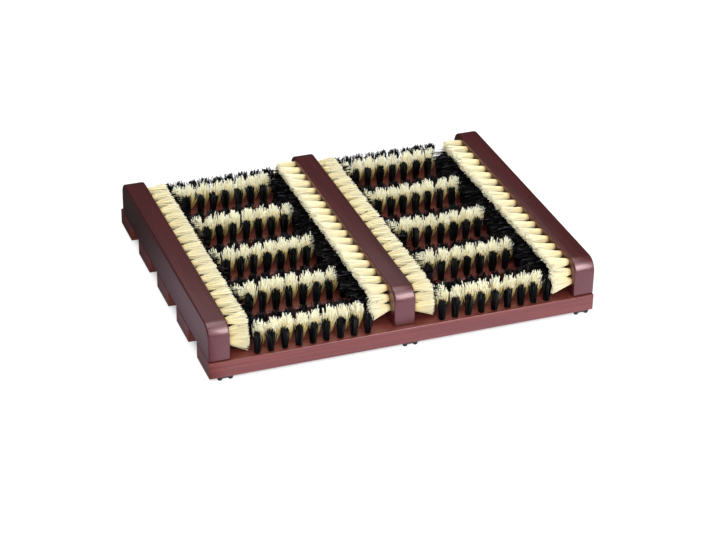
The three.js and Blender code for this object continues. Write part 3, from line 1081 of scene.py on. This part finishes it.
@dataclass
class Studio:
    """A pale floor, soft lamps and the camera at the picture's angle, in degrees and metres."""

    mat: Mat
    azimuth: float = -20.793
    elevation: float = 30.231
    roll: float = 1.047
    distance: float = 2.39906
    lens: float = 106.496
    sensor: float = 36.0
    farthest: float = 50.0
    target: Triple = (0.004762, -0.014464, 0.004)
    ambient: float = 0.44
    mirrored: float = 0.03
    lamps: tuple[Lamp, ...] = (
        Lamp("key_lamp", (0.6, -1.38, 1.9), (1.3, 1.3), 17),
        Lamp("front_lamp", (-0.6, -2.72, 1.15), (3.0, 3.0), 134, LampUse.LIGHT),
        Lamp("top_lamp", (0.0, 0.2, 2.3), (1.8, 1.8), 32),
        Lamp("back_lamp", (0.1, 1.6, 2.0), (1.4, 1.4), 1.2),
        Lamp("front_card", (0.74, -1.74, 1.1), (1.0, 1.1), 41, LampUse.REFLECTION),
        Lamp("back_card", (-0.05, 0.34, 0.43), (0.9, 0.10), 0.2, LampUse.REFLECTION),
    )

    def _world(self) -> None:
        """White surroundings for the camera and a plain soft light for the rest."""
        world = bpy.data.worlds.new("studio")
        bpy.context.scene.world = world
        world.use_nodes = True
        tree = world.node_tree
        tree.nodes.clear()
        ray = node(tree, "ShaderNodeLightPath").outputs
        seen = calculate(tree, "MAXIMUM", ray["Is Camera Ray"], ray["Is Transmission Ray"])
        unseen = mapped(tree, ray["Is Glossy Ray"], (0.0, 1.0), (self.ambient, self.mirrored))
        level = mapped(tree, seen, (0.0, 1.0), (unseen, 1.0))
        light = node(tree, "ShaderNodeBackground", inputs={"Color": WHITE, "Strength": level})
        node(tree, "ShaderNodeOutputWorld", inputs={"Surface": light.outputs[0]})

    def _camera(self) -> None:
        """Set the camera at the picture's angle and distance."""
        a, e, r = (math.radians(angle) for angle in (self.azimuth, self.elevation, self.roll))
        back = Vector((math.sin(a) * math.cos(e), -math.cos(a) * math.cos(e), math.sin(e)))
        right = Vector((math.cos(a), math.sin(a), 0))
        up = back.cross(right)
        side = right * math.cos(r) + up * math.sin(r)
        top = up * math.cos(r) - right * math.sin(r)
        data = bpy.data.cameras.new("camera")
        data.lens = self.lens
        data.sensor_width = self.sensor
        data.clip_end = self.farthest
        camera = scene_object("camera", data)
        turn = Matrix((side, top, back)).transposed().to_4x4()
        camera.matrix_world = Matrix.Translation(Vector(self.target) + back * self.distance) @ turn
        bpy.context.scene.camera = camera

    def build(self) -> None:
        """Set up the floor, the lamps, the camera and the view settings."""
        Floor(self.mat).lay()
        self._world()
        for lamp in self.lamps:
            lamp.hang()
        self._camera()
        bpy.context.scene.view_settings.view_transform = "Standard"


def main() -> None:
    """Build the mat piece by piece, then the studio, and log each piece's face count."""
    logging.basicConfig(level=logging.INFO, format="%(message)s")
    mat = Mat()
    fixings = Fixings(mat)
    boards_wood = LacqueredMahogany("lacquered_mahogany_boards", Grain.ACROSS_THE_MAT, "#4d1f1a", "#652e26",
                                    gloss=0.2, shine=0.85).build()
    rails_wood = LacqueredMahogany("lacquered_mahogany_rails", Grain.ALONG_THE_RAILS, "#33100f", "#471718",
                                   sheen_tint="#f2ccd4").build()
    # The upright black's rare bright strands are painted glints.
    black = Bristle("black_nylon_bristle_upright", "#060708", "#080909", "#131516", roughness=0.5,
                    shades=(0.2, 9.0), paling=0.5, shine=0.1, rarity=5.0).build()
    # The sideways black is a darker copy of the black bristle: its darkness is painted shade for the band between
    # the side tufts, and its rare bright strands are painted glints.
    side_black = Bristle("black_nylon_bristle_sideways", "#020202", "#020203", "#0b0a0a", roughness=0.6,
                         shades=(0.05, 22.0), paling=0.8, shine=0.02, rarity=6.0).build()
    upright_cream = Bristle("cream_nylon_bristle_upright", "#8f5a28", "#f0da8c", "#fffee6", roughness=0.5,
                            shades=(0.94, 1.0), paling=0.55, glow=0.4).build()
    # The sideways cream is a copy of the cream bristle dimmed at the head: the dimming is painted shade that keeps
    # its top-lit strands below white.
    side_cream = Bristle("cream_nylon_bristle_sideways", "#d0a566", "#f0dfaa", "#f0e7c4", roughness=0.5,
                         shades=(0.86, 0.95), paling=0.22, shine=0.15, glow=0.45).build()
    rubber = PlainFinish("moulded_black_rubber", "#17181a", roughness=0.75).build()
    steel = PlainFinish("zinc_plated_steel", "#b9b6ae", roughness=0.35, metallic=1.0).build()

    wood = Woodwork(mat, fixings)
    outer, centre, half = mat.outer_set_back, mat.centre_set_back, mat.rail_width / 2
    for i in range(mat.slat_count):
        hand_over(wood.slat(i, boards_wood), [f"slat_{i + 1}"])
    for name, x, set_back in (("left", -mat.rail_x, outer), ("centre", 0.0, centre), ("right", mat.rail_x, outer)):
        hand_over(wood.rail(f"{name}_rail", x, set_back, rails_wood), [f"rail_{name}"])
    bpy.data.objects.remove(wood.cutter)

    brushes = Brushes(mat, BristleTree(), black, side_black, upright_cream, side_cream)
    for i in range(mat.slat_count):
        brushes.grow_board(i)
    brushes.grow_rail_face("left_rail", -mat.rail_x + half, RailSide.RIGHT, outer, shift=0.0)
    brushes.grow_rail_face("centre_rail_left", -half, RailSide.LEFT, centre, shift=5.0)
    brushes.grow_rail_face("centre_rail_right", half, RailSide.RIGHT, centre, shift=-4.0)
    brushes.grow_rail_face("right_rail", mat.rail_x - half, RailSide.LEFT, outer, shift=-2.0)

    repeats = RepeatTree()
    feet = Feet(mat)
    names = ("left", "centre", "right")
    piece = repeats.repeat("rubber_feet", feet.shape(), feet.places(), turn=0.0, finish=rubber)
    hand_over(piece, [f"foot_{end}_{name}" for end in ("front", "back") for name in names])
    piece = repeats.repeat("wood_screws", fixings.shape(), fixings.places(), turn=3.1, finish=steel)
    hand_over(piece, [f"screw_{name}_{i + 1}" for i in range(mat.slat_count) for name in names])

    Studio(mat).build()


if __name__ == "__main__":
    main()
